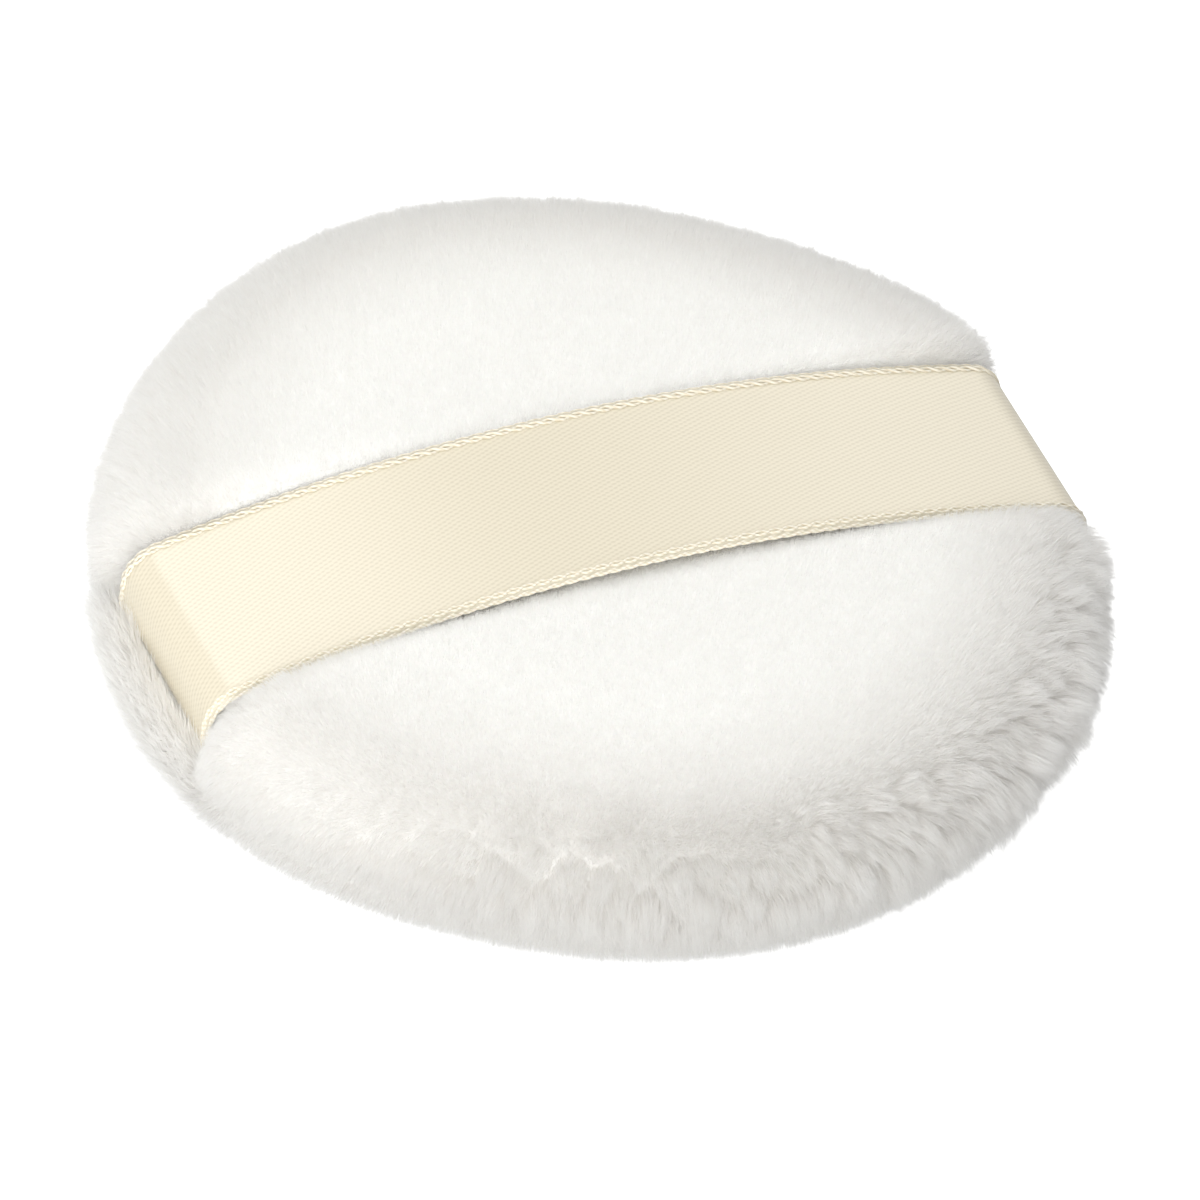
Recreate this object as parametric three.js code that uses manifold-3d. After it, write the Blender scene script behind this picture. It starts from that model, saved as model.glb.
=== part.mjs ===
// Plush powder puff: a round foam pad in two sewn plush covers, with a satin ribbon strap across its top.
// Millimetres, +Z up. X runs along the ribbon, and the origin is the middle of the face that it stands on.
// A cover's solid is its cloth with the dense part of its pile. The loose pile on the crown is a solid of its own,
// because a finger that goes under the ribbon presses it flat.
import * as THREE from "three";
import { mergeVertices } from "three/addons/utils/BufferGeometryUtils.js";
import Module from "manifold-3d";

const wasm = await Module();
wasm.setup();

// Covers
const coverRadius = 37.6; // axis to the rim
const crownRise = 5.1; // seam to the middle of the top cover
const bottomDepth = 7.7; // seam to the lowest point of the bottom cover before its own weight flattens it
const restFlattening = 0.5; // depth by which the bottom cover is pressed flat where it stands
const plushThickness = 2; // cloth and pile at the crown, where the hand presses the pile down
const rimThickness = 4.3; // cloth and pile at the rim, where the pile stands out
const rimRounding = 1.2; // where the pile of each cover turns in to the seam
const allowanceThickness = 0.8; // cloth turned in at the seam, with its pile sheared off
const allowanceWidth = 5.5; // inside of the rim to the raw edge
const shoulderFullness = 3.4; // exponents of the outside: higher is flatter on top and fuller at the rim
const crownFullness = 2.4;
const liningFullness = 6; // exponents of the inside of the cloth
const liningCrownFullness = 2.2;

// Loose pile on the crown
const pileRise = 8.3; // seam to its middle
const pileRadius = 36.6; // axis to where its outside would end upright
const pileFoot = 3; // seam to that end
const pileEdge = 34; // axis to where it gives way to the pile of the rim
const pileShoulderFullness = 4.4;
const pileCrownFullness = 2.6;

// Ribbon strap
const ribbonWidth = 16;
const ribbonThickness = 0.35;
const selvedgeWidth = 1.3; // woven edge on each side of the ribbon
const selvedgeThickness = 0.5;
const fingerGap = 4.45; // top cover to the ribbon's underside at mid-span
const ribbonInset = 3; // rim to the middle of the ribbon where it dives through the pile
const ribbonFoldHeight = 2.6; // seam to the centre of the fold at each end of the span
const ribbonFoldRadius = 3; // of the ribbon's middle, where its span folds down into the pile
const ribbonTurnRadius = 1; // of the ribbon's middle, where it turns in between the allowances
const ribbonSeat = 3.2; // end of the ribbon's span to where the loose pile stands clear of it

// Sewing
const threadDiameter = 0.4;
const needleInset = 2.8; // inside of the rim to the line of needle holes
const seamStitch = 8; // length of one machine overedge stitch along the needle line
const closingStitch = 5; // length of one hand overcast stitch
const turningGap = 24; // seam left open to turn the covers, then closed by hand, along the needle line
const threadBreak = 2; // between the end of one thread and the start of the other, along the needle line
const stitchRoundness = 0.1; // exponent of a stitch's section: lower is squarer

// Fits
const clearance = 0.3; // between pieces that touch

// Facets
const coverSegments = 36;
const curveSteps = 8;
const liningSteps = 5; // on the inside of the cloth
const rimSteps = 3;
const turnSteps = 4; // of the ribbon as it comes out of the seam
const foldSteps = 5; // of the ribbon at each end of its span
const archSteps = 8;
const threadSides = 5;
const holeSides = 6;
const stepsPerStitch = 8;
const weldDistance = 1e-4; // vertices closer than this are one

// Heights and radii that follow from them
const seamHeight = bottomDepth - restFlattening;
const topHeight = seamHeight + crownRise;
const allowanceFace = clearance / 2; // from the seam's mid-plane to the face of each allowance
const allowanceBack = allowanceFace + allowanceThickness;
const liningRadius = coverRadius - rimThickness;
const rawEdgeRadius = liningRadius - allowanceWidth;
const needleRadius = liningRadius - needleInset;
const threadRadius = threadDiameter / 2;
const holeRadius = threadRadius + clearance;
const stitchCorner = Math.tan(Math.PI / stepsPerStitch) ** stitchRoundness; // share of the rise at a corner
const stitchRise = (allowanceBack + holeRadius) / stitchCorner; // seam's mid-plane to the top of a stitch
const stitchInnerRadius = rawEdgeRadius - holeRadius;
const coreRadius = stitchInnerRadius - holeRadius;

const plush = new THREE.MeshStandardMaterial({ color: "#f6f5f1", roughness: 0.95, metalness: 0 });
const foam = new THREE.MeshStandardMaterial({ color: "#f1ead6", roughness: 0.9, metalness: 0 });
const satin = new THREE.MeshStandardMaterial({ color: "#efe8d2", roughness: 0.35, metalness: 0 });
const polyesterThread = new THREE.MeshStandardMaterial({ color: "#f3f0e6", roughness: 0.6, metalness: 0 });

// A closed geometry as a solid that can be joined and cut.
function solid(geometry) {
  geometry.deleteAttribute("normal");
  geometry.deleteAttribute("uv");
  const merged = mergeVertices(geometry, weldDistance);
  return new wasm.Manifold(
    new wasm.Mesh({
      numProp: 3,
      vertProperties: merged.attributes.position.array,
      triVerts: new Uint32Array(merged.index.array),
    }),
  );
}

// A finished solid as a named mesh.
function piece(name, shape, material) {
  const { vertProperties, triVerts } = shape.getMesh();
  const geometry = new THREE.BufferGeometry();
  geometry.setAttribute("position", new THREE.BufferAttribute(vertProperties, 3));
  geometry.setIndex(new THREE.BufferAttribute(triVerts, 1));
  geometry.computeVertexNormals();
  const mesh = new THREE.Mesh(geometry, material);
  mesh.name = name;
  return mesh;
}

// Revolves a profile of radius and height about Z. It starts and ends on the axis and runs down its outside,
// so it is turned round for faces that point out.
function revolve(profile) {
  return solid(new THREE.LatheGeometry(profile.reverse(), coverSegments).rotateX(Math.PI / 2));
}

// A crowned curve from the axis down to its rim, as radius and height above the seam's mid-plane.
// It starts out level at the top, rolls over a full shoulder and ends upright, and is pressed flat at a level.
function crownCurve({ radius, base, top, flatLevel, fullness, steps }) {
  const [radialFullness, axialFullness] = fullness;
  return Array.from({ length: steps + 1 }, (_, step) => {
    const angle = ((step / steps) * Math.PI) / 2;
    const height = base + (top - base) * Math.cos(angle) ** (2 / axialFullness);
    return new THREE.Vector2(radius * Math.sin(angle) ** (2 / radialFullness), Math.min(height, flatLevel));
  });
}

// The outside of a cover.
function coverCurve(rise, flatLevel) {
  return crownCurve({
    radius: coverRadius,
    base: allowanceFace + rimRounding,
    top: rise,
    flatLevel,
    fullness: [shoulderFullness, crownFullness],
    steps: curveSteps,
  });
}

// The inside of a cover's cloth, or of what fills it with a gap.
function liningCurve(rise, flatLevel, gap) {
  const depth = plushThickness + gap;
  return crownCurve({
    radius: liningRadius - gap,
    base: allowanceBack,
    top: rise - depth,
    flatLevel: flatLevel - depth,
    fullness: [liningFullness, liningCrownFullness],
    steps: liningSteps,
  });
}

// A cover's profile: crown, shoulder, rounded rim, turned-in allowance and the inside of the cloth.
function coverProfile(rise, flatLevel) {
  const rim = new THREE.Path();
  rim.absarc(coverRadius - rimRounding, allowanceFace + rimRounding, rimRounding, 0, -Math.PI / 2, true);
  return [
    ...coverCurve(rise, flatLevel),
    ...rim.getPoints(rimSteps).slice(1),
    new THREE.Vector2(rawEdgeRadius, allowanceFace),
    new THREE.Vector2(rawEdgeRadius, allowanceBack),
    ...liningCurve(rise, flatLevel, 0).reverse(),
  ];
}

// A profile above the seam's mid-plane, set at its height: upright for the top, mirrored for the bottom.
function aboveSeam(profile) {
  return profile.map((point) => new THREE.Vector2(point.x, seamHeight + point.y));
}

function belowSeam(profile) {
  return profile.map((point) => new THREE.Vector2(point.x, seamHeight - point.y)).reverse();
}

// One thread wound stitch after stitch round the raw edges and through the needle holes.
class OveredgeStitches extends THREE.Curve {
  constructor(startAngle, sweep, stitches) {
    super();
    Object.assign(this, { startAngle, sweep, stitches });
  }

  // A stitch is a rounded square that stands on the seam, from the needle line to past the raw edges.
  getPoint(share, target = new THREE.Vector3()) {
    const halfStep = Math.PI / stepsPerStitch;
    const turn = 2 * Math.PI * share * this.stitches + Math.PI + halfStep;
    const squared = (value) => Math.sign(value) * (Math.abs(value) / Math.cos(halfStep)) ** stitchRoundness;
    const middle = (needleRadius + stitchInnerRadius) / 2;
    const radius = middle + ((needleRadius - stitchInnerRadius) / 2) * squared(Math.cos(turn));
    const angle = this.startAngle + share * this.sweep;
    return target.set(
      radius * Math.cos(angle),
      radius * Math.sin(angle),
      seamHeight + stitchRise * squared(Math.sin(turn)),
    );
  }

  // Steps fall at the same places of every stitch, so its holes are all alike.
  getPointAt(share, target) {
    return this.getPoint(share, target);
  }

  getTangentAt(share, target) {
    return this.getTangent(share, target);
  }
}

function thread(stitches) {
  const axis = new THREE.Vector2();
  const corners = Array.from({ length: threadSides }, (_, side) =>
    new THREE.Vector2(threadRadius, 0).rotateAround(axis, (2 * Math.PI * side) / threadSides),
  );
  return solid(
    new THREE.ExtrudeGeometry(new THREE.Shape(corners), {
      extrudePath: stitches,
      steps: stitches.stitches * stepsPerStitch,
    }),
  );
}

// The holes that the needle leaves: one along each stitch's straight pass through the allowances.
function needleHoles(stitches) {
  const holes = Array.from({ length: stitches.stitches }, (_, stitch) => {
    const entry = stitches.getPoint((stitch + 0.5 - 1 / stepsPerStitch) / stitches.stitches);
    const exit = stitches.getPoint((stitch + 0.5) / stitches.stitches);
    const pass = exit.clone().sub(entry);
    const hole = new THREE.CylinderGeometry(holeRadius, holeRadius, pass.length(), holeSides);
    const upright = new THREE.Vector3(0, 1, 0);
    hole.applyQuaternion(new THREE.Quaternion().setFromUnitVectors(upright, pass.normalize()));
    return solid(hole.translate(...entry.add(exit).divideScalar(2)));
  });
  return holes.reduce((joined, hole) => joined.add(hole));
}

// Stitches that fill an arc of the needle line, given by its middle and its length.
function stitchesAlong(middleAngle, length, stitchLength) {
  const sweep = length / needleRadius;
  return new OveredgeStitches(middleAngle - sweep / 2, sweep, Math.round(length / stitchLength));
}

// Half of the ribbon's middle line above the seam's mid-plane: tail, turn, way up through the pile, fold and span.
function halfRibbonLine(tailEnd) {
  const dive = coverRadius - ribbonInset;
  const foldMiddle = dive - ribbonFoldRadius;
  const middleHeight = crownRise + fingerGap + ribbonThickness / 2;
  const slope = 2 * Math.atan((middleHeight - ribbonFoldHeight - ribbonFoldRadius) / foldMiddle);
  const archRadius = foldMiddle / Math.sin(slope) + ribbonFoldRadius;
  const turn = new THREE.Path();
  turn.absarc(dive - ribbonTurnRadius, ribbonTurnRadius, ribbonTurnRadius, -Math.PI / 2, 0, false);
  const fold = new THREE.Path();
  fold.absarc(foldMiddle, ribbonFoldHeight, ribbonFoldRadius, 0, Math.PI / 2 - slope, false);
  const span = new THREE.Path();
  span.absarc(0, middleHeight - archRadius, archRadius, Math.PI / 2 - slope, Math.PI / 2, false);
  return [
    new THREE.Vector2(tailEnd, 0),
    ...turn.getPoints(turnSteps),
    ...fold.getPoints(foldSteps),
    ...span.getPoints(archSteps).slice(1),
  ];
}

// The whole line from one tail to the other, set at the seam's height.
function ribbonLine(tailEnd) {
  const half = aboveSeam(halfRibbonLine(tailEnd));
  const otherHalf = half.slice(0, -1).map((point) => new THREE.Vector2(-point.x, point.y));
  return [...half, ...otherHalf.reverse()];
}

// A band of cloth along the line, between two places across its width.
function band(line, thickness, from, to) {
  const side = (sign) =>
    line.map((point, index) => {
      const before = line[Math.max(index - 1, 0)];
      const after = line[Math.min(index + 1, line.length - 1)];
      const along = after.clone().sub(before).normalize();
      return new THREE.Vector2(-along.y, along.x).multiplyScalar((sign * thickness) / 2).add(point);
    });
  const outline = new THREE.Shape([...side(1), ...side(-1).reverse()]);
  const strip = new THREE.ExtrudeGeometry(outline, { depth: to - from, bevelEnabled: false });
  return solid(strip.rotateX(Math.PI / 2).translate(0, to, 0));
}

function ribbon() {
  const line = ribbonLine(rawEdgeRadius);
  const edge = ribbonWidth / 2;
  return band(line, ribbonThickness, -edge, edge)
    .add(band(line, selvedgeThickness, -edge, selvedgeWidth - edge))
    .add(band(line, selvedgeThickness, edge - selvedgeWidth, edge));
}

// Room for the ribbon between the allowances, up through the pile and where it presses into the shoulders.
function ribbonRoom() {
  const edge = ribbonWidth / 2 + clearance;
  return band(ribbonLine(rawEdgeRadius - clearance), selvedgeThickness + 2 * clearance, -edge, edge);
}

// The loose pile that stands on the top cover, a gap above it.
function loosePile() {
  const outside = crownCurve({
    radius: pileRadius,
    base: pileFoot,
    top: pileRise,
    flatLevel: pileRise,
    fullness: [pileShoulderFullness, pileCrownFullness],
    steps: curveSteps,
  });
  const underside = coverCurve(crownRise, crownRise).map((point) => point.setY(point.y + 1.5 * clearance));
  const closed = (curve, foot) => [...curve, new THREE.Vector2(curve.at(-1).x, foot), new THREE.Vector2(0, foot)];
  const edge = new THREE.CylinderGeometry(pileEdge, pileEdge, 4 * topHeight, coverSegments);
  return revolve(aboveSeam(closed(outside, 0)))
    .intersect(solid(edge.rotateX(Math.PI / 2)))
    .subtract(revolve(aboveSeam(closed(underside, -clearance))));
}

// Room over the loose pile for the ribbon's span, with a seat at each end where the span comes down on the cover.
function spanRoom() {
  const seat = coverRadius - ribbonInset - ribbonSeat;
  const edge = ribbonWidth / 2 + clearance;
  const depth = selvedgeThickness / 2 + clearance;
  const under = ribbonLine(rawEdgeRadius)
    .filter((point) => point.y > seamHeight + ribbonFoldHeight + ribbonFoldRadius / 2)
    .map((point) => new THREE.Vector2(point.x, point.y - depth));
  const above = [under.at(-1), under[0]].map((point) => new THREE.Vector2(point.x, 2 * topHeight));
  const room = new THREE.ExtrudeGeometry(new THREE.Shape([...under, ...above]), {
    depth: 2 * edge,
    bevelEnabled: false,
  });
  const seats = [-1, 1].map((sign) =>
    solid(
      new THREE.BoxGeometry(coverRadius, 2 * edge, 4 * topHeight).translate(sign * (seat + coverRadius / 2), 0, 0),
    ),
  );
  return seats.reduce((joined, cut) => joined.add(cut), solid(room.rotateX(Math.PI / 2).translate(0, edge, 0)));
}

// The foam disc: cut round inside the stitches, and filling the covers from inside to inside.
function foamCore() {
  const filled = revolve([
    ...aboveSeam(liningCurve(crownRise, crownRise, clearance)),
    ...belowSeam(liningCurve(bottomDepth, seamHeight, clearance)),
  ]);
  const cutter = new THREE.CylinderGeometry(coreRadius, coreRadius, 2 * topHeight, coverSegments);
  return filled.intersect(solid(cutter.rotateX(Math.PI / 2)));
}

const back = Math.PI / 2;
const needleLine = 2 * Math.PI * needleRadius;
const machineSeam = stitchesAlong(-back, needleLine - turningGap - 2 * threadBreak, seamStitch);
const handSeam = stitchesAlong(back, turningGap, closingStitch);

const holes = needleHoles(machineSeam).add(needleHoles(handSeam));
const coverCuts = holes.add(ribbonRoom());
const topCover = revolve(aboveSeam(coverProfile(crownRise, crownRise)));
const bottomCover = revolve(belowSeam(coverProfile(bottomDepth, seamHeight)));

const puff = new THREE.Group();
puff.add(
  piece("top_cover", topCover.subtract(coverCuts), plush),
  piece("bottom_cover", bottomCover.subtract(coverCuts), plush),
  piece("top_pile", loosePile().subtract(spanRoom()), plush),
  piece("foam_core", foamCore(), foam),
  piece("ribbon_strap", ribbon().subtract(holes), satin),
  piece("seam_thread", thread(machineSeam), polyesterThread),
  piece("closing_thread", thread(handSeam), polyesterThread),
);

export default puff;
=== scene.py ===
"""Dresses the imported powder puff: plush covers and pile, the satin ribbon strap, foam core and thread."""

import logging
import math
from dataclasses import dataclass
from enum import Enum

import bmesh
import bpy
import numpy as np
from mathutils import Matrix, Vector
from mathutils.kdtree import KDTree

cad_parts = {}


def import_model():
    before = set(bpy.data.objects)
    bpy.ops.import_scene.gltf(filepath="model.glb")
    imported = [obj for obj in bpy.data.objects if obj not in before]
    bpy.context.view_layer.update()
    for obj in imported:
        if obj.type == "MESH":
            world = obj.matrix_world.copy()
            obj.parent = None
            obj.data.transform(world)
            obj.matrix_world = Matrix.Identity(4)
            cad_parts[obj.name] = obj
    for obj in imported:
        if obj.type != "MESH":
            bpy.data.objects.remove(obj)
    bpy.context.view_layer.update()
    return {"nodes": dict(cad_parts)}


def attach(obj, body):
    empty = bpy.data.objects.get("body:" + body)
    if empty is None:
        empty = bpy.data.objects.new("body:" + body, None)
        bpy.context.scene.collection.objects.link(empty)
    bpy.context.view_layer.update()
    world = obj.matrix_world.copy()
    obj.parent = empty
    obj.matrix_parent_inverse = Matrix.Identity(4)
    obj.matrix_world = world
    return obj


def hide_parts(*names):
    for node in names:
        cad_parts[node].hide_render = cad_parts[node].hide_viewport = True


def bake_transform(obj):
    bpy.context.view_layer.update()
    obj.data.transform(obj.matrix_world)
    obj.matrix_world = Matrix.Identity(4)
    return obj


LOG = logging.getLogger("powder_puff")
MM = 0.001
PER_MM2 = 1 / MM**2
MERGE_DISTANCE = 0.0001 * MM
SHORTEST = 1e-12
GOLDEN_SHARE = 3 - math.sqrt(5)
# A wave texture of scale 1 repeats after this length.
WAVE_PERIOD = math.pi / 10
# The weights of a curve's start, pull and end at its middle.
CURVE_MIDDLE = (0.25, 0.5, 0.25)
PILE_MAP = "OFBake"
WEAVE_MAP = "weave"
# How far the sewn rim stands out from a round one, by degrees round the pad.
RIM_OFFSETS = (
    (-180.0, 1.0 * MM),
    (-165.0, 1.5 * MM),
    (-150.0, 1.2 * MM),
    (-135.0, -0.2 * MM),
    (-120.0, -0.6 * MM),
    (-90.0, -0.6 * MM),
    (-60.0, -1.0 * MM),
    (-40.0, -0.8 * MM),
    (-22.0, -1.5 * MM),
    (-8.0, 0.3 * MM),
    (15.0, 0.8 * MM),
    (28.0, 0.0 * MM),
    (45.0, -1.6 * MM),
    (75.0, -0.8 * MM),
    (100.0, 0.4 * MM),
    (125.0, -0.1 * MM),
    (150.0, 0.1 * MM),
)

Settings = dict[str | int, object]
Links = dict[str | int, bpy.types.NodeSocket]


class Side(Enum):
    """Which cover of the pad, with the direction that it faces along Z."""

    TOP = 1
    BOTTOM = -1


class StrapEnd(Enum):
    """Which end of the strap, with the direction that it lies in along X."""

    LEFT = -1
    RIGHT = 1


def linear(hex_colour: str) -> tuple[float, float, float, float]:
    """Turns an sRGB hex colour into linear RGBA.

    Args:
        hex_colour: Six hex digits after a hash sign.

    Returns:
        The linear colour, with an alpha of 1.
    """
    channels = [int(hex_colour[at : at + 2], 16) / 255 for at in (1, 3, 5)]
    red, green, blue = (c / 12.92 if c <= 0.04045 else ((c + 0.055) / 1.055) ** 2.4 for c in channels)
    return red, green, blue, 1.0


def add_node(
    tree: bpy.types.NodeTree, kind: str, settings: Settings | None = None, links: Links | None = None
) -> bpy.types.Node:
    """Adds a node with its settings and links.

    Args:
        tree: The node tree that gets the node.
        kind: The node's type.
        settings: Values by the name of a property, or by the name or place of an input.
        links: Output sockets by the name or place of the input that they feed.

    Returns:
        The new node.
    """
    node = tree.nodes.new(kind)
    for name, value in (settings or {}).items():
        if isinstance(name, str) and hasattr(node, name):
            setattr(node, name, value)
        else:
            node.inputs[name].default_value = value
    for name, socket in (links or {}).items():
        tree.links.new(socket, node.inputs[name])
    return node


def new_material(name: str) -> tuple[bpy.types.Material, bpy.types.NodeTree, bpy.types.Node]:
    """Makes an empty node material.

    Args:
        name: The real material's name.

    Returns:
        The material, its node tree and its output node.
    """
    material = bpy.data.materials.new(name)
    material.use_nodes = True
    tree = material.node_tree
    tree.nodes.clear()
    return material, tree, add_node(tree, "ShaderNodeOutputMaterial")


def set_ramp(node: bpy.types.Node, stops: list[tuple[float, str]]) -> None:
    """Gives a colour ramp its stops.

    Args:
        node: The ramp.
        stops: Places from 0 to 1, each with an sRGB hex colour.
    """
    elements = node.color_ramp.elements
    while len(elements) < len(stops):
        elements.new(0.5)
    for element, (place, colour) in zip(elements, stops):
        element.position = place
        element.color = linear(colour)


def new_object(name: str, data: bpy.types.ID) -> bpy.types.Object:
    """Makes an object and puts it in the scene.

    Args:
        name: The object's name.
        data: Its mesh, curve, lamp or camera.

    Returns:
        The new object.
    """
    made = bpy.data.objects.new(name, data)
    bpy.context.scene.collection.objects.link(made)
    return made


def dress(mesh: bpy.types.Mesh, material: bpy.types.Material) -> None:
    """Gives a mesh its one material."""
    mesh.materials.clear()
    mesh.materials.append(material)


def new_piece(name: str, mesh: bpy.types.Mesh, material: bpy.types.Material) -> bpy.types.Object:
    """Puts a mesh in the scene as a piece of the object.

    Args:
        name: The piece's name.
        mesh: Its mesh, already in place.
        material: Its finish.

    Returns:
        The new object, at the origin.
    """
    mesh.name = name
    dress(mesh, material)
    LOG.info("%s: %d faces", name, len(mesh.polygons))
    return new_object(name, mesh)


def finished_mesh(form: bmesh.types.BMesh, name: str, smooth: bool = True) -> bpy.types.Mesh:
    """Turns a bmesh into a mesh and frees it.

    Args:
        form: The bmesh.
        name: The mesh's name.
        smooth: Whether its faces shade smoothly.

    Returns:
        The new mesh.
    """
    for face in form.faces:
        face.smooth = smooth
    mesh = bpy.data.meshes.new(name)
    form.to_mesh(mesh)
    form.free()
    return mesh


def evaluated_mesh(piece: bpy.types.Object) -> bpy.types.Mesh:
    """Gives a new mesh of a curve, or of a piece with its modifiers applied."""
    graph = bpy.context.evaluated_depsgraph_get()
    return bpy.data.meshes.new_from_object(piece.evaluated_get(graph), depsgraph=graph)


def face_rank(face: bmesh.types.BMFace, count: int) -> int:
    """Ranks a face by the indices of its corners, in a form of so many vertices."""
    corners = [vert.index for vert in face.verts]
    return min(corners) * count + max(corners)


def turned(profile: list[tuple[float, float]], steps: int) -> bmesh.types.BMesh:
    """Spins a profile about Z.

    Args:
        profile: Radius and height of each point, in metres.
        steps: Faces round the turn.

    Returns:
        The turned form, with its poles closed, its faces pointing out and in the same order each time.
    """
    form = bmesh.new()
    points = [form.verts.new((radius, 0.0, height)) for radius, height in profile]
    edges = [form.edges.new(pair) for pair in zip(points, points[1:])]
    bmesh.ops.spin(
        form,
        geom=points + edges,
        cent=(0, 0, 0),
        axis=(0, 0, 1),
        angle=2 * math.pi,
        steps=steps,
        use_merge=True,
    )
    bmesh.ops.remove_doubles(form, verts=form.verts, dist=MERGE_DISTANCE)
    bmesh.ops.recalc_face_normals(form, faces=form.faces)
    form.verts.index_update()
    count = len(form.verts)
    form.faces.sort(key=lambda face: face_rank(face, count))
    return form


def smooth_share(values: np.ndarray, start: float, end: float) -> np.ndarray:
    """Rises smoothly from 0 at start to 1 at end."""
    share = np.clip((values - start) / (end - start), 0, 1)
    return share * share * (3 - 2 * share)


def unit(vectors: np.ndarray) -> np.ndarray:
    """Scales each row to a length of 1."""
    return vectors / np.maximum(np.linalg.norm(vectors, axis=1, keepdims=True), SHORTEST)


def run_lengths(line: np.ndarray) -> np.ndarray:
    """Gives the distance along a line of each of its points."""
    steps = np.linalg.norm(np.diff(line, axis=0), axis=1)
    return np.concatenate([[0.0], np.cumsum(steps)])


def sampled(line: np.ndarray, distances: np.ndarray) -> np.ndarray:
    """Gives the points at distances along a line, which has two coordinates."""
    lengths = run_lengths(line)
    return np.stack([np.interp(distances, lengths, line[:, axis]) for axis in (0, 1)], 1)


def nearest(points: np.ndarray, places: np.ndarray) -> np.ndarray:
    """Finds the point that lies nearest to each place.

    Args:
        points: The points.
        places: The places.

    Returns:
        The index of the nearest point, for each place.
    """
    tree = KDTree(len(points))
    for number, point in enumerate(points):
        tree.insert(point, number)
    tree.balance()
    return np.array([tree.find(place)[1] for place in places])


@dataclass(frozen=True)
class PlushFinish:
    """White acrylic plush: cut pile on a knitted backing. Light enters the fibres, so it glows softly."""

    # The root is a little darker and warmer than the middle and tip: painted shade deep in the pile. The
    # tones differ at random among fibres.
    root: str = "#f7f6f4"
    middle: str = "#fdfcfb"
    tip: str = "#fefefd"
    tone_low: str = "#fcfcfb"
    tone_high: str = "#ffffff"
    roughness: float = 0.85
    specular: float = 0.25
    translucency: float = 0.8
    wale: float = 0.9 * MM
    wale_height: float = 0.2 * MM
    wale_bump: float = 0.5
    backing_roughness: float = 0.95
    backing_specular: float = 0.2

    def material(self) -> bpy.types.Material:
        """Makes the fibre's material, which goes from its darker root, painted shade deep in the pile, to
        the tip and differs a little among fibres.

        Returns:
            The material.
        """
        material, tree, output = new_material("white_acrylic_plush_fibre")
        place = add_node(tree, "ShaderNodeUVMap", {"uv_map": PILE_MAP})
        parts = add_node(tree, "ShaderNodeSeparateXYZ", links={0: place.outputs[0]})
        # Darker towards the root: painted shade deep in the pile.
        along = add_node(tree, "ShaderNodeValToRGB", links={0: parts.outputs["Y"]})
        set_ramp(along, [(0.0, self.root), (0.45, self.middle), (0.8, self.tip)])
        tone = add_node(tree, "ShaderNodeValToRGB", links={0: parts.outputs["X"]})
        set_ramp(tone, [(0.0, self.tone_low), (0.6, self.tone_high)])
        colour = add_node(
            tree,
            "ShaderNodeMix",
            {"data_type": "RGBA", "blend_type": "MULTIPLY", 0: 1.0},
            {6: along.outputs[0], 7: tone.outputs[0]},
        )
        surface = add_node(
            tree,
            "ShaderNodeBsdfPrincipled",
            {"Roughness": self.roughness, "Specular IOR Level": self.specular},
            {"Base Color": colour.outputs[2]},
        )
        through = add_node(tree, "ShaderNodeBsdfTranslucent", links={"Color": colour.outputs[2]})
        both = {1: surface.outputs[0], 2: through.outputs[0]}
        mixed = add_node(tree, "ShaderNodeMixShader", {0: self.translucency}, both)
        tree.links.new(mixed.outputs[0], output.inputs["Surface"])
        return material

    def backing(self) -> bpy.types.Material:
        """Makes the knitted backing's material, flecked at the pitch of its wales and darker where the knit
        sinks: painted shade in its hollows.

        Returns:
            The material.
        """
        material, tree, output = new_material("white_knitted_plush_backing")
        place = add_node(tree, "ShaderNodeTexCoord")
        fleck = add_node(
            tree,
            "ShaderNodeTexNoise",
            {"Scale": 1 / self.wale, "Detail": 3.0},
            {"Vector": place.outputs["Object"]},
        )
        # The flecks that sink lowest take the root's darker colour: painted shade in the hollows of the
        # knit.
        colour = add_node(tree, "ShaderNodeValToRGB", links={0: fleck.outputs["Fac"]})
        set_ramp(colour, [(0.25, self.root), (0.75, self.tip)])
        bump = add_node(
            tree,
            "ShaderNodeBump",
            {"Strength": self.wale_bump, "Distance": self.wale_height},
            {"Height": fleck.outputs["Fac"]},
        )
        surface = add_node(
            tree,
            "ShaderNodeBsdfPrincipled",
            {"Roughness": self.backing_roughness, "Specular IOR Level": self.backing_specular},
            {"Base Color": colour.outputs[0], "Normal": bump.outputs[0]},
        )
        tree.links.new(surface.outputs[0], output.inputs["Surface"])
        return material


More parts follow.
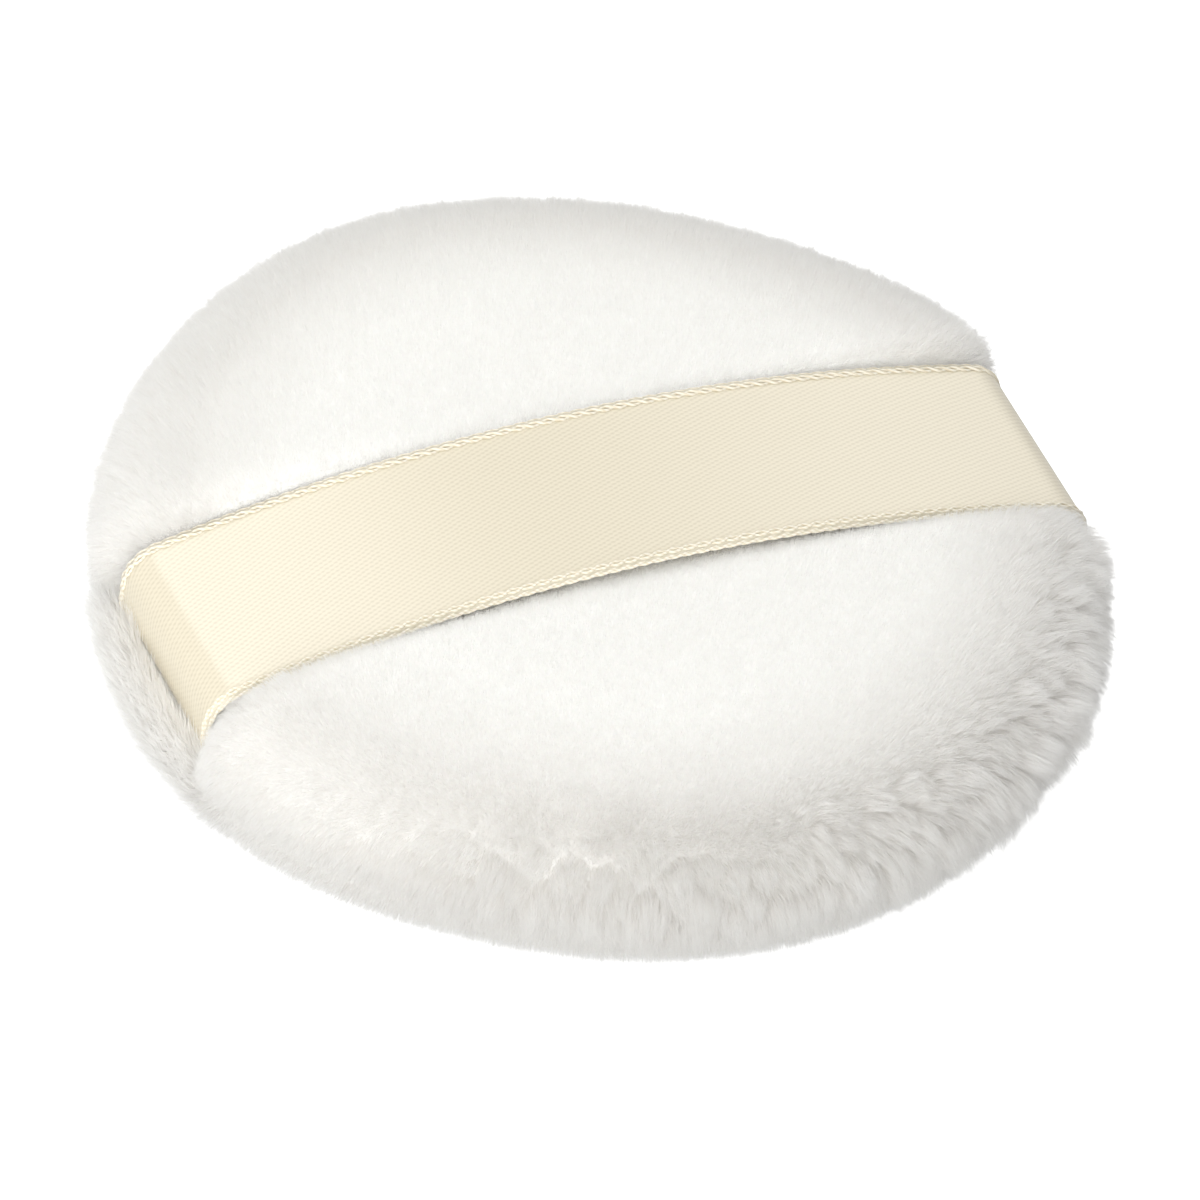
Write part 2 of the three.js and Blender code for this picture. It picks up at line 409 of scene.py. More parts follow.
@dataclass(frozen=True)
class SatinFinish:
    """Cream polyester satin: long warp floats lie side by side, so a highlight spreads across the ribbon."""

    # The shade colour goes in the grooves between the floats: painted shade. The face colour is the satin's
    # own.
    shade: str = "#cfc5ac"
    face: str = "#ded5be"
    roughness: float = 0.36
    anisotropy: float = 0.6
    specular: float = 1.0
    sheen: float = 0.15
    row_pitch: float = 0.36 * MM
    row_angles: tuple[float, float] = (20.0, -42.0)
    row_wander: float = 1.6
    second_row_share: float = 0.35
    float_height: float = 0.03 * MM
    float_bump: float = 0.3

    def material(self, width: float, length: float) -> bpy.types.Material:
        """Makes the ribbon's material.

        Args:
            width: The ribbon's width, which its map's U spans.
            length: The ribbon's length, which its map's V spans.

        Returns:
            The material.
        """
        material, tree, output = new_material("cream_polyester_satin")
        place = add_node(tree, "ShaderNodeUVMap", {"uv_map": WEAVE_MAP})
        size = {"Scale": (width, length, 1.0)}
        flat = add_node(tree, "ShaderNodeMapping", size, {"Vector": place.outputs[0]})
        rows = []
        for angle in self.row_angles:
            slanted = add_node(
                tree,
                "ShaderNodeMapping",
                {"vector_type": "POINT", "Rotation": (0.0, 0.0, math.radians(angle))},
                {"Vector": flat.outputs[0]},
            )
            row = add_node(
                tree,
                "ShaderNodeTexWave",
                {
                    "bands_direction": "X",
                    "Scale": WAVE_PERIOD / self.row_pitch,
                    "Distortion": self.row_wander,
                    "Detail Scale": self.row_wander,
                },
                {"Vector": slanted.outputs[0]},
            )
            rows.append(row.outputs["Fac"])
        shares = {"data_type": "FLOAT", 0: self.second_row_share}
        weave = add_node(tree, "ShaderNodeMix", shares, {2: rows[0], 3: rows[1]})
        # Where the bump is low, between the floats, the weave takes the shade colour: painted shade.
        colour = add_node(tree, "ShaderNodeValToRGB", links={0: weave.outputs[0]})
        set_ramp(colour, [(0.05, self.shade), (0.65, self.face)])
        bump = add_node(
            tree,
            "ShaderNodeBump",
            {"Strength": self.float_bump, "Distance": self.float_height},
            {"Height": weave.outputs[0]},
        )
        across = add_node(tree, "ShaderNodeTangent", {"direction_type": "UV_MAP", "uv_map": WEAVE_MAP})
        surface = add_node(
            tree,
            "ShaderNodeBsdfPrincipled",
            {
                "Roughness": self.roughness,
                "Anisotropic": self.anisotropy,
                "Specular IOR Level": self.specular,
                "Sheen Weight": self.sheen,
            },
            {"Base Color": colour.outputs[0], "Normal": bump.outputs[0], "Tangent": across.outputs[0]},
        )
        tree.links.new(surface.outputs[0], output.inputs["Surface"])
        return material


@dataclass(frozen=True)
class ThreadFinish:
    """Spun polyester thread: short twisted fibres, so it is matt with fine slanting plies."""

    # The dark colour goes between the slanting plies: painted shade.
    dark: str = "#e6dcc4"
    light: str = "#f8f2e2"
    ply_pitch: float = 0.25 * MM
    ply_wander: float = 1.5
    roughness: float = 0.55
    sheen: float = 0.2

    def material(self, name: str) -> bpy.types.Material:
        """Makes the thread's material.

        Args:
            name: The material's name.

        Returns:
            The material.
        """
        material, tree, output = new_material(name)
        place = add_node(tree, "ShaderNodeTexCoord")
        plies = add_node(
            tree,
            "ShaderNodeTexWave",
            {
                "bands_direction": "DIAGONAL",
                "Scale": WAVE_PERIOD / self.ply_pitch,
                "Distortion": self.ply_wander,
            },
            {"Vector": place.outputs["Object"]},
        )
        # Darker between the plies: painted shade.
        colour = add_node(tree, "ShaderNodeValToRGB", links={0: plies.outputs["Fac"]})
        set_ramp(colour, [(0.0, self.dark), (0.8, self.light)])
        surface = add_node(
            tree,
            "ShaderNodeBsdfPrincipled",
            {"Roughness": self.roughness, "Sheen Weight": self.sheen},
            {"Base Color": colour.outputs[0]},
        )
        tree.links.new(surface.outputs[0], output.inputs["Surface"])
        return material


@dataclass(frozen=True)
class FoamFinish:
    """Open-cell polyether foam: pale cream and matt, pitted by its open cells."""

    # The dark colour goes in the middle of each open cell, where the bump is lowest: painted shade in the
    # pits.
    dark: str = "#d9cfae"
    light: str = "#f3ecd6"
    roughness: float = 0.95
    cell: float = 0.6 * MM
    cell_depth: float = 0.2 * MM
    cell_bump: float = 0.6

    def material(self) -> bpy.types.Material:
        """Makes the foam's material.

        Returns:
            The material.
        """
        material, tree, output = new_material("open_cell_polyether_foam")
        place = add_node(tree, "ShaderNodeTexCoord")
        cells = add_node(
            tree, "ShaderNodeTexVoronoi", {"Scale": 1 / self.cell}, {"Vector": place.outputs["Object"]}
        )
        # Darker towards each cell's pit: painted shade.
        colour = add_node(tree, "ShaderNodeValToRGB", links={0: cells.outputs["Distance"]})
        set_ramp(colour, [(0.0, self.dark), (0.6, self.light)])
        bump = add_node(
            tree,
            "ShaderNodeBump",
            {"Strength": self.cell_bump, "Distance": self.cell_depth},
            {"Height": cells.outputs["Distance"]},
        )
        surface = add_node(
            tree,
            "ShaderNodeBsdfPrincipled",
            {"Roughness": self.roughness},
            {"Base Color": colour.outputs[0], "Normal": bump.outputs[0]},
        )
        tree.links.new(surface.outputs[0], output.inputs["Surface"])
        return material


@dataclass(frozen=True)
class StrapPath:
    """The ribbon's middle line, in the plane of X and Z: tail, turn, way up through the pile, fold, span."""

    seam_height: float = 7.2 * MM
    tail_end: float = 27.8 * MM
    dive: float = 34.6 * MM
    turn_radius: float = 1.0 * MM
    fold_radius: float = 3.0 * MM
    fold_height: float = 2.6 * MM
    middle_height: float = 9.725 * MM
    turn_steps: int = 8
    fold_steps: int = 20
    span_steps: int = 40
    slope_reach: float = 0.05 * MM

    def half(self) -> np.ndarray:
        """Works out the right half of the line.

        Returns:
            The points, as X and Z, from the right tail to the middle of the span.
        """
        fold_middle = self.dive - self.fold_radius
        rise = self.middle_height - self.fold_height - self.fold_radius
        slope = 2 * math.atan(rise / fold_middle)
        span_radius = fold_middle / math.sin(slope) + self.fold_radius
        turn = np.linspace(-math.pi / 2, 0, self.turn_steps)
        fold = np.linspace(0, math.pi / 2 - slope, self.fold_steps)
        span = np.linspace(math.pi / 2 - slope, math.pi / 2, self.span_steps)[1:]
        arcs = [
            (self.dive - self.turn_radius, self.turn_radius, self.turn_radius, turn),
            (fold_middle, self.fold_height, self.fold_radius, fold),
            (0.0, self.middle_height - span_radius, span_radius, span),
        ]
        points = [np.array([[self.tail_end, 0.0]])]
        points += [np.stack([x + r * np.cos(a), z + r * np.sin(a)], 1) for x, z, r, a in arcs]
        line = np.concatenate(points)
        line[:, 1] += self.seam_height
        return line

    def line(self) -> np.ndarray:
        """Gives the points from the left tail to the right one."""
        half = self.half()
        return np.concatenate([half[:-1] * (-1, 1), half[::-1]])

    def length(self) -> float:
        """Gives the ribbon's whole length."""
        return float(run_lengths(self.line())[-1])

    def at(self, distances: np.ndarray) -> tuple[np.ndarray, np.ndarray]:
        """Finds places on the line.

        Args:
            distances: Distances along it from the left tail.

        Returns:
            The points, as X and Z, and the directions that the ribbon's upper face has there.
        """
        line, length = self.line(), self.length()
        ends = [np.clip(distances + sign * self.slope_reach, 0, length) for sign in (-1, 1)]
        before, after = (sampled(line, end) for end in ends)
        along = unit(after - before)
        return sampled(line, distances), np.stack([-along[:, 1], along[:, 0]], 1)

    def underside(self, across: np.ndarray, thickness: float) -> np.ndarray:
        """Gives the height of the underside of the span and folds by distance from the middle."""
        above = self.half()[1 + self.turn_steps :][::-1]
        return np.interp(np.abs(across) + thickness, above[:, 0], above[:, 1]) - thickness / 2


@dataclass(frozen=True)
class Comb:
    """How the pile lies at one distance along the cloth from the middle of a cover."""

    at: float
    length: float
    outward: float
    droop: float
    scatter: float
    lock_pull: float
    tuft_pull: float
    tuft_swing: float
    unevenness: float


@dataclass(frozen=True)
class Dent:
    """Where an end of the strap draws the rim in, and how far its pile leans up and outgrows the rest."""

    end: StrapEnd
    depth: float
    uplift: float
    growth: float = 0.0
    half_width: float = 8.6 * MM
    fade: float = 3.0 * MM
    starts: float = 22 * MM
    full_from: float = 33 * MM

    def share(self, points: np.ndarray) -> np.ndarray:
        """Works out how much of the dent points get.

        Args:
            points: Points of the cloth.

        Returns:
            A share from 0 to 1 for each point.
        """
        beside = 1 - smooth_share(np.abs(points[:, 1]), self.half_width, self.half_width + self.fade)
        ahead = smooth_share(self.end.value * points[:, 0], self.starts, self.full_from)
        return beside * ahead


@dataclass(frozen=True)
class PileStand:
    """Part of a cover's pile: where it grows, how densely and with what strands. Girth is half a width."""

    name: str
    inner_radius: float
    outer_radius: float
    density: float
    girth: float
    kneed: bool
    pieces: int
    seed: int
    node: str = ""


@dataclass
class PlushCover:
    """One cover: a disc of plush cloth crowned over the foam, turned in at the seam, with its pile."""

    name: str
    node: str
    side: Side
    rise: float
    lining_rise: float
    stands: list[PileStand]
    combs: list[Comb]
    dents: list[Dent]
    strap: StrapPath
    finish: PlushFinish
    radius: float = 36.0 * MM
    rim_rounding: float = 1.0 * MM
    rim_steps: int = 7
    seam_gap: float = 0.32 * MM
    allowance: float = 0.8 * MM
    raw_edge: float = 27.8 * MM
    lining_radius: float = 33.0 * MM
    lining_fullness: tuple[float, float] = (6.0, 2.2)
    shoulder_fullness: float = 4.4
    crown_fullness: float = 2.6
    curve_steps: int = 40
    round_steps: int = 240
    offset_blur: tuple[float, ...] = (-10, -5, 0, 5, 10)
    offset_reach: tuple[float, float] = (15 * MM, 33 * MM)
    least_radius: float = 1 * MM
    strap_width: float = 16 * MM
    strap_thickness: float = 0.5 * MM
    strap_press: float = 0.5 * MM
    press_fade: tuple[float, float] = (-0.4 * MM, 1.6 * MM)
    tuft_size: float = 1.8 * MM
    lock_size: float = 0.6 * MM
    tuft_seed: int = 40
    tufts_face: float = -75.0
    tufts_spread: float = 62.0
    tufts_fade: tuple[float, float] = (0.6, 1.3)
    spread_steps: int = 800
    spread_jitter: float = 0.3
    measure_steps: int = 400
    calm_length: float = 1.5 * MM
    # A strand this long shows the fibre's ramp all the way down to the root's painted shade.
    full_length: float = 2.0 * MM

    def crowned(self, radius: float, base: float, top: float, fullness: tuple[float, float]) -> np.ndarray:
        """Works out a crowned curve from the axis to its rim.

        Args:
            radius: The rim's radius.
            base: The rim's distance from the seam.
            top: The crown's distance from the seam.
            fullness: Exponents of its roundness towards the rim and the crown.

        Returns:
            Radius and distance from the seam of each point.
        """
        angle = np.linspace(0, math.pi / 2, self.curve_steps)
        out = radius * np.sin(angle) ** (2 / fullness[0])
        return np.stack([out, base + (top - base) * np.cos(angle) ** (2 / fullness[1])], 1)

    def outside(self) -> np.ndarray:
        """Works out the cloth's outside, from the crown over the shoulder and rim to the seam.

        Returns:
            Radius and distance from the seam of each point.
        """
        base = self.seam_gap + self.rim_rounding
        crown = self.crowned(self.radius, base, self.rise, (self.shoulder_fullness, self.crown_fullness))
        turn = np.linspace(0, math.pi / 2, self.rim_steps)[1:]
        out = self.radius - self.rim_rounding * (1 - np.cos(turn))
        return np.concatenate([crown, np.stack([out, base - self.rim_rounding * np.sin(turn)], 1)])

    def placed(self, profile: np.ndarray) -> list[tuple[float, float]]:
        """Sets a profile of distances from the seam at its height, up or down by the cover's side."""
        heights = self.strap.seam_height + self.side.value * profile[:, 1]
        return [(float(radius), float(height)) for radius, height in zip(profile[:, 0], heights)]

    def settled(self, points: np.ndarray) -> np.ndarray:
        """Moves points of the turned cloth to its sewn outline, which isn't quite round.

        Args:
            points: Points of the turned cloth.

        Returns:
            The points where they settle, drawn in and pressed down by the strap.
        """
        out = np.hypot(points[:, 0], points[:, 1])
        turn = np.degrees(np.arctan2(points[:, 1], points[:, 0]))
        places, offsets = zip(*RIM_OFFSETS)
        near = [np.interp(turn + step, places, offsets, period=360) for step in self.offset_blur]
        grown = np.mean(near, axis=0) * smooth_share(out, *self.offset_reach)
        drawn = sum(dent.depth * dent.share(points) for dent in self.dents)
        keep = 1 + (grown - drawn) / np.maximum(out, self.least_radius)
        moved = points * np.stack([keep, keep, np.ones(len(points))], 1)
        if self.side is Side.TOP:
            ceiling = self.strap.underside(moved[:, 0], self.strap_thickness) - self.strap_press
            beside = 1 - smooth_share(np.abs(moved[:, 1]) - self.strap_width / 2, *self.press_fade)
            moved[:, 2] -= beside * np.maximum(moved[:, 2] - ceiling, 0)
        return moved

    def settle(self, form: bmesh.types.BMesh) -> bmesh.types.BMesh:
        """Moves the turned cloth's points to where they settle.

        Args:
            form: The turned cloth.

        Returns:
            The same form.
        """
        places = self.settled(np.array([vert.co for vert in form.verts]))
        for vert, place in zip(form.verts, places):
            vert.co = place
        form.normal_update()
        return form

    def spread(self, spacing: float, rng: np.random.Generator) -> tuple[np.ndarray, np.ndarray, np.ndarray]:
        """Spreads points over the cloth's outside.

        Args:
            spacing: About how far apart they lie.
            rng: The source of chance.

        Returns:
            The points, the cloth's directions there and their distances along the cloth.
        """
        outside = self.outside()
        fine = np.linspace(0, run_lengths(outside)[-1], self.spread_steps)
        radius, height = sampled(outside, fine).T
        area = np.cumsum(2 * math.pi * radius * (fine[1] - fine[0]))
        count = int(area[-1] / spacing**2)
        jitter = self.spread_jitter * spacing
        along = np.interp((np.arange(count) + 0.5) / count * area[-1], area, fine)
        along = np.clip(along + jitter * rng.normal(size=count), 0, fine[-1])
        out, up = np.interp(along, fine, radius), np.interp(along, fine, height)
        angle = np.arange(count) * math.pi * GOLDEN_SHARE
        angle = angle + jitter * rng.normal(size=count) / np.maximum(out, spacing)
        rise = np.interp(along, fine, -np.gradient(height, fine))
        lie = self.side.value * np.interp(along, fine, np.gradient(radius, fine))
        cos, sin = np.cos(angle), np.sin(angle)
        points = np.stack([out * cos, out * sin, self.strap.seam_height + self.side.value * up], 1)
        return self.settled(points), unit(np.stack([rise * cos, rise * sin, lie], 1)), along

    def distance_along(self, points: np.ndarray) -> np.ndarray:
        """Measures how far along the cloth's outside points lie from the middle of the cover.

        Args:
            points: Points on the turned cloth.

        Returns:
            The distances.
        """
        outside = self.outside()
        fine = np.linspace(0, run_lengths(outside)[-1], self.measure_steps)
        curve = np.pad(sampled(outside, fine), ((0, 0), (0, 1)))
        out = np.hypot(points[:, 0], points[:, 1])
        up = self.side.value * (points[:, 2] - self.strap.seam_height)
        return fine[nearest(curve, np.stack([out, up, np.zeros(len(points))], 1))]

    def ruffled(self, points: np.ndarray) -> np.ndarray:
        """Works out how ruffled the pile is, most on the side where it hangs over the rim.

        Args:
            points: Points of the cloth.

        Returns:
            A share from 0 to 1 for each point.
        """
        turn = np.degrees(np.arctan2(points[:, 1], points[:, 0])) - self.tufts_face
        turn = np.abs((turn + 180) % 360 - 180)
        start, end = (share * self.tufts_spread for share in self.tufts_fade)
        return 1 - smooth_share(turn, start, end)

    def combed(self, along: np.ndarray, name: str) -> np.ndarray:
        """Gives one of the comb's values at distances along the cloth."""
        places = [comb.at for comb in self.combs]
        return np.interp(along, places, [getattr(comb, name) for comb in self.combs])

    def build_cloth(self) -> None:
        """Builds the cloth as a closed shell, with its turned-in allowance and lining side."""
        back = self.seam_gap + self.allowance
        lining = self.crowned(self.lining_radius, back, self.lining_rise, self.lining_fullness)[::-1]
        allowance = np.array([[self.raw_edge, self.seam_gap], [self.raw_edge, back]])
        profile = np.concatenate([self.outside(), allowance, lining])
        form = self.settle(turned(self.placed(profile), self.round_steps))
        piece = new_piece(self.name, finished_mesh(form, self.name), self.finish.backing())
        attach(piece, "pad")
        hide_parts(self.node)

    def growing_ground(self, stand: PileStand) -> bpy.types.Mesh:
        """Builds the part of the cloth's outside that a stand of pile grows on.

        Args:
            stand: The stand.

        Returns:
            Its ground, with each vertex's distance along the cloth.
        """
        outside = self.outside()
        first = int(np.argmax(outside[:, 0] >= stand.inner_radius))
        last = len(outside) - 1
        if stand.outer_radius < self.radius:
            widest = int(np.argmax(outside[:, 0]))
            last = int(np.argmax(outside[: widest + 1, 0] >= stand.outer_radius))
        form = turned(self.placed(outside[first : last + 1]), self.round_steps)
        along = form.verts.layers.float.new("along")
        distances = self.distance_along(np.array([vert.co for vert in form.verts]))
        for vert, distance in zip(form.verts, distances):
            vert[along] = distance
        return finished_mesh(self.settle(form), "ground")

    def build_pile(self) -> None:
        """Grows and combs each stand of pile, and splits it into pieces by sector."""
        fibre = self.finish.material()
        for stand in self.stands:
            grower = PileGrower(stand, self)
            for number, mesh in enumerate(grower.meshes(self.growing_ground(stand)), start=1):
                piece = new_piece(f"{stand.name}_{number}", mesh, fibre)
                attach(piece, "pad")
                if stand.node:
                    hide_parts(stand.node)


@dataclass
class PileGrower:
    """Grows the strands of one stand of pile as flat tapered fibres, and combs them."""

    stand: PileStand
    cover: PlushCover
    taper: float = 0.3
    knee_rise: float = 0.55
    calm_share: float = 0.4
    swirl: float = 0.05
    swirl_rates: tuple[float, float, float] = (310.0, 270.0, 420.0)
    swirl_bend: float = 1.3
    swirl_shift: float = 0.7
    long_share: float = 0.04
    long_growth: float = 2.0
    lock_swing: float = 0.3
    spread_kept: float = 0.35
    pull_range: tuple[float, float] = (0.3, 1.4)
    side_room: float = 0.3 * MM
    under_room: float = 0.2 * MM
    least_rise: float = 0.2 * MM
    fold_room: float = 0.5 * MM
    floor_room: float = 0.02 * MM
    tone_start: float = 0.04
    tone_span: float = 0.92
    tone_width: float = 0.03
    tip_row: float = 0.98
    row_span: float = 0.96

    def strand(self) -> bpy.types.Object:
        """Builds one flat strand, 1 high, from -1 to 1 across and tapered, with a knee if it bends.

        Returns:
            The strand.
        """
        form = bmesh.new()
        rows = 2 if self.stand.kneed else 1
        bmesh.ops.create_grid(form, x_segments=1, y_segments=rows, size=1.0)
        for vert in form.verts:
            vert.co = (vert.co.x, 0.0, (vert.co.y + 1) / 2)
        top = max(vert.co.z for vert in form.verts)
        tip = [vert for vert in form.verts if vert.co.z == top]
        bmesh.ops.pointmerge(form, verts=tip, merge_co=(0, 0, 1))
        return new_object("strand", finished_mesh(form, "strand"))

    def scatter(self, strand: bpy.types.Object) -> bpy.types.NodeTree:
        """Makes the nodes that scatter strands over the ground and keep each one's root and direction.

        Args:
            strand: The strand that is planted.

        Returns:
            The node tree.
        """
        tree = bpy.data.node_groups.new("pile_scatter", "GeometryNodeTree")
        for way in ("INPUT", "OUTPUT"):
            tree.interface.new_socket("Geometry", in_out=way, socket_type="NodeSocketGeometry")
        ground = add_node(tree, "NodeGroupInput")
        spread = add_node(
            tree,
            "GeometryNodeDistributePointsOnFaces",
            {"Density": self.stand.density, "Seed": self.stand.seed},
            {"Mesh": ground.outputs[0]},
        )
        place = add_node(tree, "GeometryNodeInputPosition")
        points = spread.outputs["Points"]
        for name, value in (("root", place.outputs[0]), ("aim", spread.outputs["Normal"])):
            points = add_node(
                tree,
                "GeometryNodeStoreNamedAttribute",
                {"data_type": "FLOAT_VECTOR", "Name": name},
                {"Geometry": points, "Value": value},
            ).outputs[0]
        model = add_node(tree, "GeometryNodeObjectInfo", {"Object": strand})
        planted = add_node(
            tree,
            "GeometryNodeInstanceOnPoints",
            links={"Points": points, "Instance": model.outputs["Geometry"]},
        )
        real = add_node(tree, "GeometryNodeRealizeInstances", links={0: planted.outputs[0]})
        add_node(tree, "NodeGroupOutput", links={0: real.outputs[0]})
        return tree

    def grown(self, ground: bpy.types.Mesh, strand: bpy.types.Object) -> bpy.types.Mesh:
        """Runs the scatter on the ground.

        Args:
            ground: The part of the cloth that the pile grows on.
            strand: The strand that is planted.

        Returns:
            One mesh of all the strands, not yet combed.
        """
        plot = new_object("plot", ground)
        plot.modifiers.new("scatter", "NODES").node_group = self.scatter(strand)
        mesh = evaluated_mesh(plot)
        bpy.data.objects.remove(plot)
        return mesh

    def lively(self, roots: np.ndarray) -> np.ndarray:
        """Gives how much the pile droops and gathers at roots, up to 1 where it is ruffled."""
        return self.calm_share + (1 - self.calm_share) * self.cover.ruffled(roots)

    def tips(
        self, roots: np.ndarray, aims: np.ndarray, along: np.ndarray, rng: np.random.Generator
    ) -> np.ndarray:
        """Works out where each combed strand ends.

        Args:
            roots: Where the strands leave the cloth.
            aims: The cloth's directions there.
            along: Their distances along the cloth.
            rng: The source of chance.

        Returns:
            The strands' tips.
        """
        cover, count = self.cover, len(roots)
        names = ("length", "outward", "droop", "scatter", "unevenness")
        length, out, droop, scatter, uneven = (cover.combed(along, name)[:, None] for name in names)
        calm = np.minimum(length, cover.calm_length)
        length = calm + (length - calm) * cover.ruffled(roots)[:, None]
        droop = droop * self.lively(roots)[:, None]
        outward = unit(roots * (1, 1, 0))
        around = np.cross((0, 0, 1), outward)
        x, y = roots[:, 0], roots[:, 1]
        rate, bend_rate, cross_rate = self.swirl_rates
        waves = np.sin(x * rate + self.swirl_bend * np.sin(y * bend_rate))
        waves = waves + np.sin(y * cross_rate + self.swirl_shift)
        lean = outward * out + around * (self.swirl * waves)[:, None]
        lean = lean + scatter * rng.normal(size=(count, 3))
        lean[:, 2] += sum(dent.uplift * dent.share(roots) for dent in cover.dents)
        grown = 1 + sum(dent.growth * dent.share(roots) for dent in cover.dents)
        lengths = length * grown[:, None] * (1 + uneven * rng.normal(size=(count, 1)))
        outgrown = rng.random((count, 1)) < self.long_share
        lengths = lengths * np.where(outgrown, 1 + self.long_growth * uneven, 1.0)
        tips = roots + unit(aims + lean) * lengths
        tips[:, 2:] -= droop * lengths
        return tips

    def gathered(
        self, roots: np.ndarray, tips: np.ndarray, along: np.ndarray, rng: np.random.Generator
    ) -> np.ndarray:
        """Draws strands together into small locks and wider tufts, which swing their own way.

        Args:
            roots: Where the strands leave the cloth.
            tips: Where they end.
            along: Their distances along the cloth.
            rng: The source of chance.

        Returns:
            The new tips.
        """
        cover = self.cover
        swing = cover.combed(along, "tuft_swing")
        facing = self.lively(roots)
        levels = [
            (cover.tuft_size, cover.combed(along, "tuft_pull") * facing, swing * facing),
            (cover.lock_size, cover.combed(along, "lock_pull"), self.lock_swing * swing),
        ]
        for level, (size, pull, sway) in enumerate(levels):
            chance = np.random.default_rng(cover.tuft_seed + level)
            middles, aims, places = cover.spread(size, chance)
            ends = self.tips(middles, aims, places, chance)
            ways = chance.normal(size=(len(middles), 3))
            near = nearest(middles, roots)
            goal = ends[near] + sway[:, None] * ways[near] + self.spread_kept * (roots - middles[near])
            share = pull * rng.uniform(*self.pull_range, size=len(roots))
            tips = tips + share[:, None] * (goal - tips)
        return tips

    def cleared(self, roots: np.ndarray, tips: np.ndarray) -> np.ndarray:
        """Keeps tips under the ribbon, inside its way through the pile, and above what the puff stands on.

        Args:
            roots: Where the strands leave the cloth.
            tips: Where they end, which changes in place.

        Returns:
            The tips.
        """
        cover, strap = self.cover, self.cover.strap
        half_width = cover.strap_width / 2 + self.side_room
        under = (np.abs(tips[:, 1]) < half_width) & (np.abs(tips[:, 0]) < strap.dive)
        ceiling = strap.underside(tips[:, 0], cover.strap_thickness) - self.under_room
        ceiling = np.maximum(ceiling, roots[:, 2] + self.least_rise)
        pressed = np.where(under, np.minimum(tips[:, 2], ceiling), tips[:, 2])
        if cover.side is Side.TOP:
            inner = strap.dive - self.fold_room
            behind = (np.abs(roots[:, 1]) < half_width) & (np.abs(tips[:, 0]) > inner)
            tips[:, 0] = np.where(behind, np.sign(tips[:, 0]) * inner, tips[:, 0])
            tips[:, 1] = np.where(behind, roots[:, 1], tips[:, 1])
        tips[:, 2] = np.maximum(pressed, self.floor_room)
        return tips

    @staticmethod
    def taken(mesh: bpy.types.Mesh, name: str, corners: int) -> np.ndarray:
        """Takes an attribute off the strands.

        Args:
            mesh: The strands.
            name: The attribute's name.
            corners: How many vertices a strand has.

        Returns:
            One row for each strand.
        """
        layer = mesh.attributes[name]
        width, kind = (3, "vector") if layer.data_type == "FLOAT_VECTOR" else (1, "value")
        values = np.zeros(len(mesh.vertices) * width)
        layer.data.foreach_get(kind, values)
        mesh.attributes.remove(layer)
        return values.reshape(-1, corners, width)[:, 0]

    def meshes(self, ground: bpy.types.Mesh) -> list[bpy.types.Mesh]:
        """Grows, combs and maps the strands, and splits them by sector.

        Args:
            ground: The part of the cloth that the pile grows on.

        Returns:
            One mesh for each piece of the stand.
        """
        strand = self.strand()
        model = np.array([vertex.co for vertex in strand.data.vertices])
        mesh = self.grown(ground, strand)
        bpy.data.objects.remove(strand)
        corners = len(model)
        roots = self.taken(mesh, "root", corners)
        aims = unit(self.taken(mesh, "aim", corners))
        along = self.taken(mesh, "along", corners)[:, 0]
        rng = np.random.default_rng(self.stand.seed)
        tips = self.gathered(roots, self.tips(roots, aims, along, rng), along, rng)
        tips = self.cleared(roots, tips)
        reach = np.linalg.norm(tips - roots, axis=1, keepdims=True)
        start, pull, end = CURVE_MIDDLE
        knees = roots * start + (roots + aims * reach * self.knee_rise) * pull + tips * end
        spines = (roots, self.cleared(roots, knees), tips)
        first = unit(np.cross(unit(tips - roots), rng.normal(size=(len(roots), 3))))
        placed = np.zeros((len(roots), corners, 3))
        for corner, (side, _, share) in enumerate(model):
            half_width = self.stand.girth * side * (1.0 - self.taper * share)
            placed[:, corner] = spines[round(2 * share)] + half_width * first
        mesh.vertices.foreach_set("co", placed.astype(np.float32).ravel())
        self.map_strands(mesh, model, reach[:, 0], rng)
        mesh.polygons.foreach_set("use_smooth", np.ones(len(mesh.polygons), bool))
        mesh.update()
        LOG.info("%s: %d strands", self.stand.name, len(roots))
        return self.by_sector(mesh, roots, corners)

    def map_strands(
        self, mesh: bpy.types.Mesh, model: np.ndarray, lengths: np.ndarray, rng: np.random.Generator
    ) -> None:
        """Maps each strand: U is its own tone, and V rises along it to its tip.

        Args:
            mesh: The strands.
            model: The vertices of one strand as it was planted.
            lengths: The strands' lengths. V starts near 0 on a long one, and higher on a short one, so a
                long one shows more of the root's painted shade.
            rng: The source of chance.
        """
        corners = np.zeros(len(mesh.loops), np.int32)
        mesh.loops.foreach_get("vertex_index", corners)
        strand, corner = corners // len(model), corners % len(model)
        tone = self.tone_start + self.tone_span * rng.random(len(lengths))
        # A long strand shows the ramp down to its darker root: painted shade deep in the pile.
        shown = np.minimum(lengths / self.cover.full_length, 1.0)
        u = tone[strand] + self.tone_width * model[corner, 0]
        v = self.tip_row - self.row_span * shown[strand] * (1 - model[corner, 2])
        layer = mesh.uv_layers.new(name=PILE_MAP)
        layer.data.foreach_set("uv", np.stack([u, v], 1).astype(np.float32).ravel())

